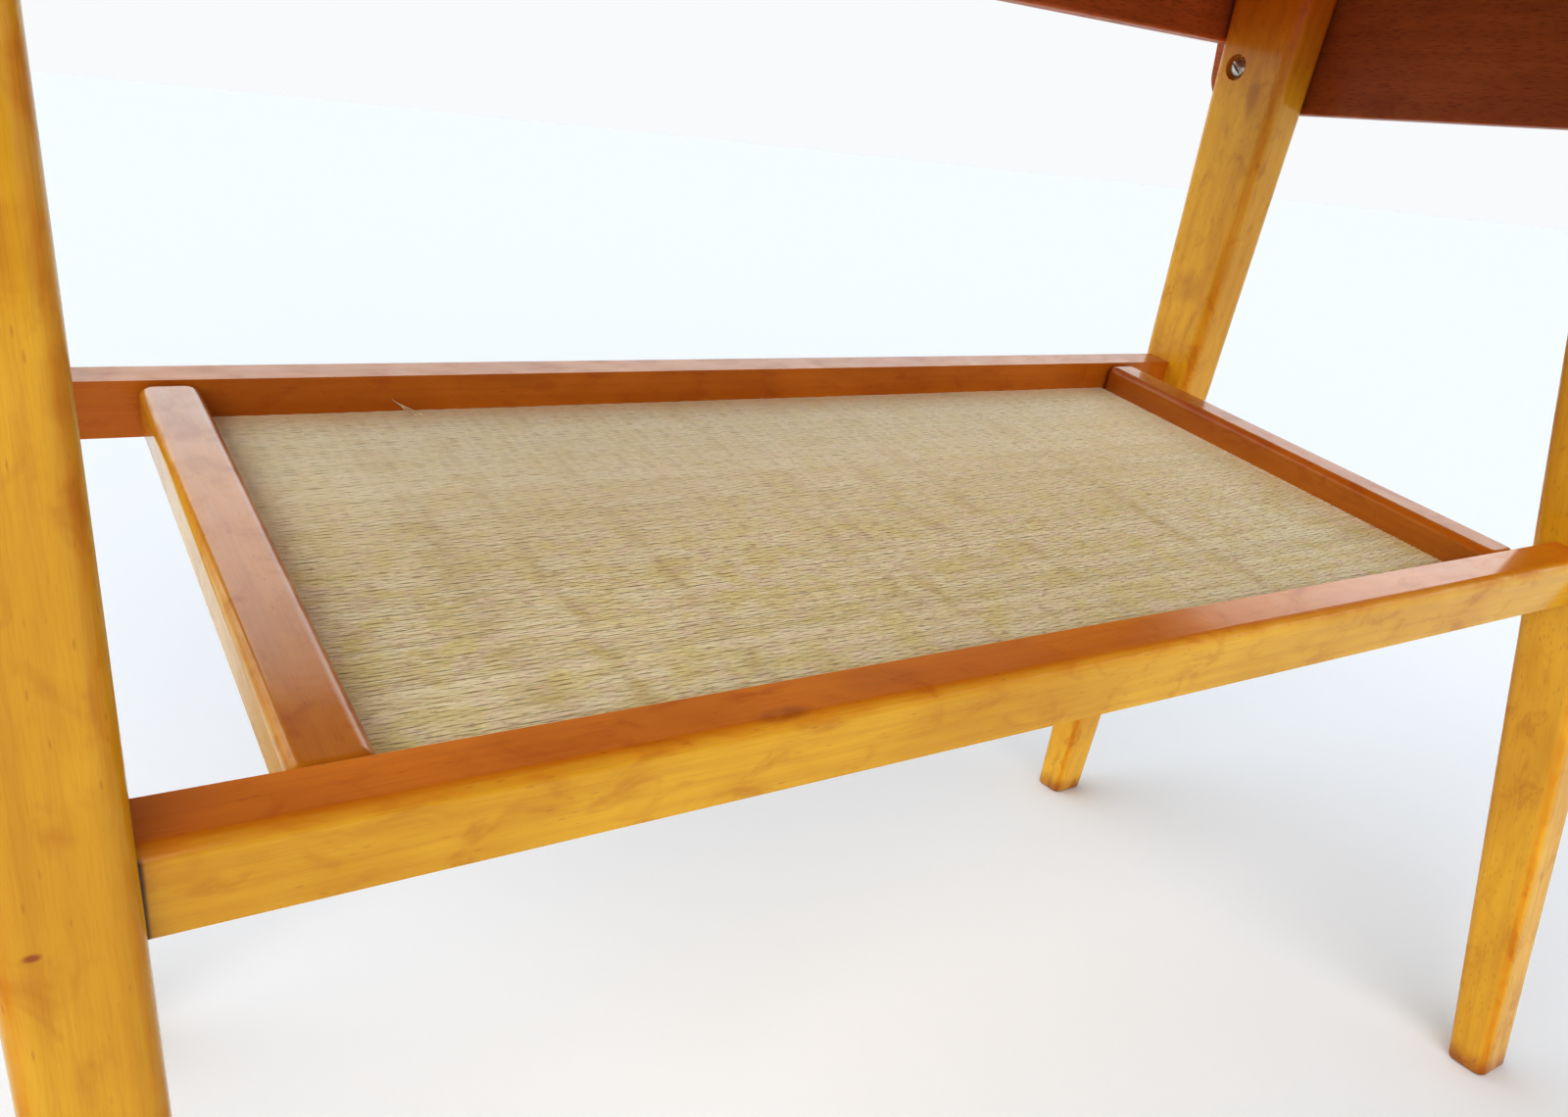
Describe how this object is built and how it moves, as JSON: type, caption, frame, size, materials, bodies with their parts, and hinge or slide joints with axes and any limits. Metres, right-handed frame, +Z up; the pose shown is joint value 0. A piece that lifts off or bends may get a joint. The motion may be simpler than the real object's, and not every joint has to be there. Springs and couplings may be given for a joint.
{
  "type": "sewing box with trays",
  "caption": "Sewing box on four splayed tapered legs, with hinged lid leaves, sliding compartment trays and a tilted woven shelf below.",
  "frame": {"origin": "on the floor under the middle of the stand", "axes": "+Z up, +X along the length, -Y the front, where the shelf is lowest"},
  "size_m": [0.649, 0.3304, 0.652],
  "materials": {
    "beech": "glossy amber lacquer",
    "teak": "satin oil finish",
    "birch_ply": "satin",
    "tray_beech": "satin lacquer",
    "woven_straw": "matt woven fibre",
    "steel": "worn zinc",
    "brass": "satin"
  },
  "bodies": {
    "stand": {"leg_front_left": "beech", "leg_front_right": "beech", "leg_back_left": "beech", "leg_back_right": "beech", "rail_front": "beech", "rail_back": "beech", "cross_bar_left": "beech", "cross_bar_right": "beech", "rail_dowels": "beech", "cross_bar_dowels": "beech", "panel_dowels": "beech", "shelf_board": "birch_ply", "shelf_weave": "woven_straw", "leg_screws": "steel", "box_floor": "teak", "end_panel_left": "teak", "end_panel_right": "teak", "side_panel_front": "teak", "side_panel_back": "teak", "upper_runner_front": "tray_beech", "upper_runner_back": "tray_beech", "lower_runner_front": "tray_beech", "lower_runner_back": "tray_beech", "hinge_left_panel_leaves": "brass", "hinge_left_panel_screws": "brass", "hinge_left_pins": "steel", "hinge_right_panel_leaves": "brass", "hinge_right_panel_screws": "brass", "hinge_right_pins": "steel"},
    "lid_left": {"lid_left": "teak", "knob_left": "teak", "hinge_left_lid_leaves": "brass", "hinge_left_lid_screws": "brass", "knob_left_screw": "brass"},
    "lid_right": {"lid_right": "teak", "knob_right": "teak", "hinge_right_lid_leaves": "brass", "hinge_right_lid_screws": "brass", "knob_right_screw": "brass"},
    "upper_tray": {"upper_tray_floor": "birch_ply", "upper_tray_wall_front": "tray_beech", "upper_tray_wall_back": "tray_beech", "upper_tray_wall_left": "tray_beech", "upper_tray_wall_right": "tray_beech", "upper_tray_long_divider": "tray_beech", "upper_tray_short_dividers": "tray_beech", "upper_tray_spool_pins": "tray_beech"},
    "lower_tray": {"lower_tray_floor": "birch_ply", "lower_tray_wall_front": "tray_beech", "lower_tray_wall_back": "tray_beech", "lower_tray_wall_left": "tray_beech", "lower_tray_wall_right": "tray_beech", "lower_tray_divider": "tray_beech", "lower_tray_short_divider": "tray_beech"}
  },
  "joints": [
    {"name": "lid_left_hinge", "type": "hinge", "parent": "stand", "child": "lid_left", "pos_m": [-0.3215, 0, 0.622], "axis": [0, -1, 0], "range_deg": [0, 180]},
    {"name": "lid_right_hinge", "type": "hinge", "parent": "stand", "child": "lid_right", "pos_m": [0.3215, 0, 0.622], "axis": [0, 1, 0], "range_deg": [0, 180]},
    {"name": "upper_tray_slide", "type": "slide", "parent": "stand", "child": "upper_tray", "axis": [1, 0, 0], "range_m": [0, 0.31]},
    {"name": "lower_tray_slide", "type": "slide", "parent": "stand", "child": "lower_tray", "axis": [1, 0, 0], "range_m": [0, 0.31]}
  ]
}
